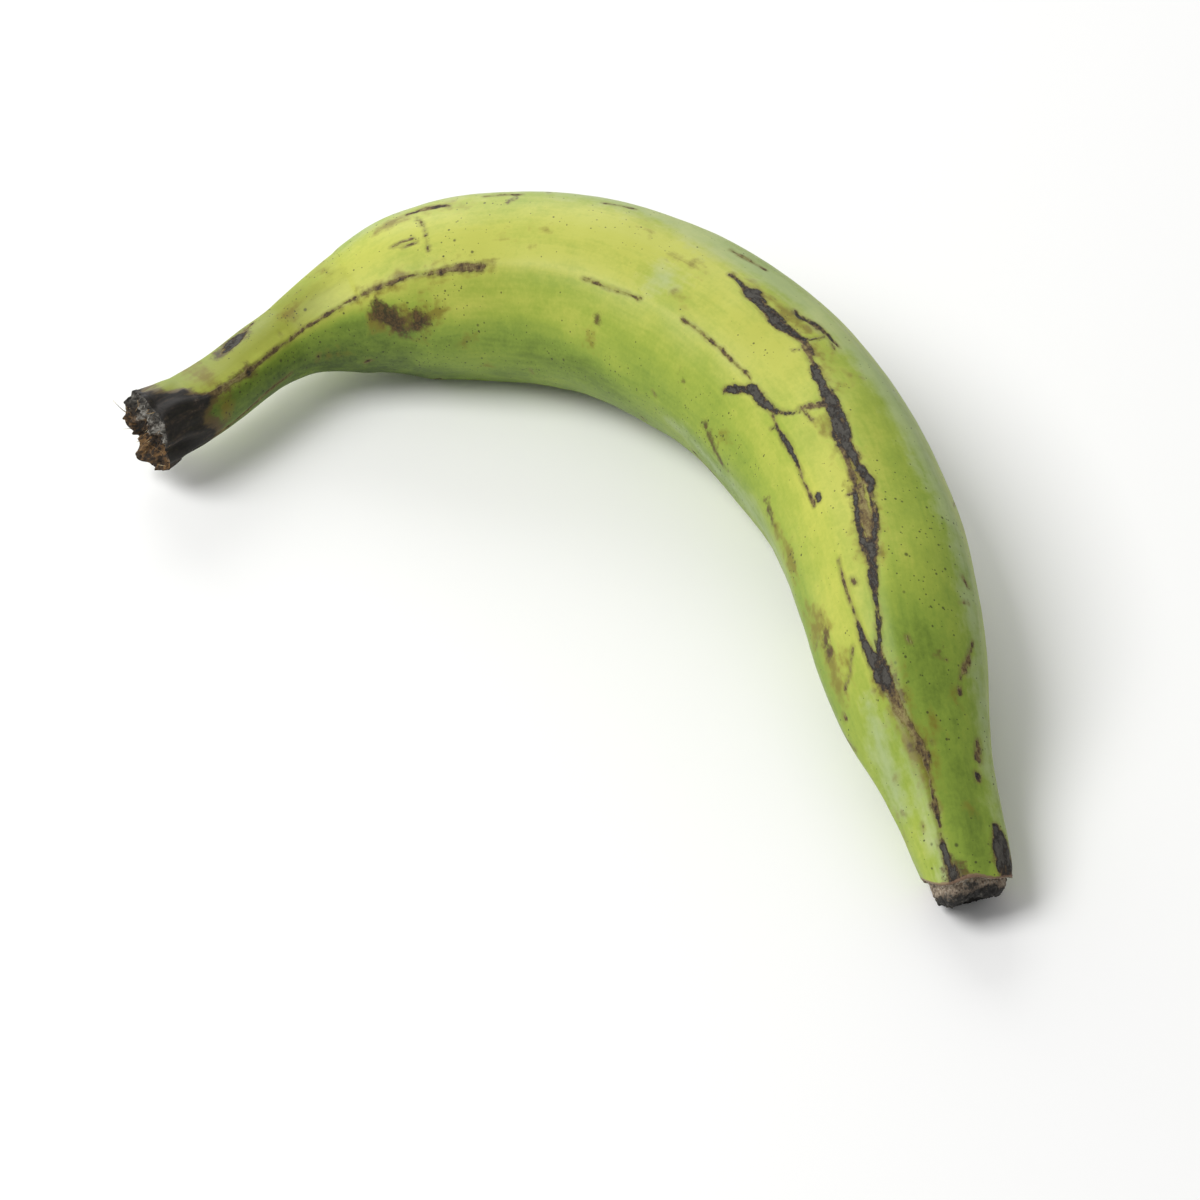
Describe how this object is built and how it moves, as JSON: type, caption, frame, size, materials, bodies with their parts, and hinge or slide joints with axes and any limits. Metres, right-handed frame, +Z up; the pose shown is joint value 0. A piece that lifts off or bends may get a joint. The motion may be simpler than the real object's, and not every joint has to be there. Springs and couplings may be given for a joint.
{
  "type": "plantain",
  "caption": "Whole green plantain as picked: a bent, blunt-ridged fruit with a torn, blackened stalk and a dried flower scar, lying on its side.",
  "frame": {"origin": "on the surface the fruit lies on, below the middle of its bounding box", "axes": "+X from the stalk to the flower end, +Y to the outside of the bend, +Z up"},
  "size_m": [0.2282, 0.1168, 0.0436],
  "materials": {
    "peel": "satin"
  },
  "bodies": {
    "root": {"plantain": "peel"}
  },
  "joints": []
}
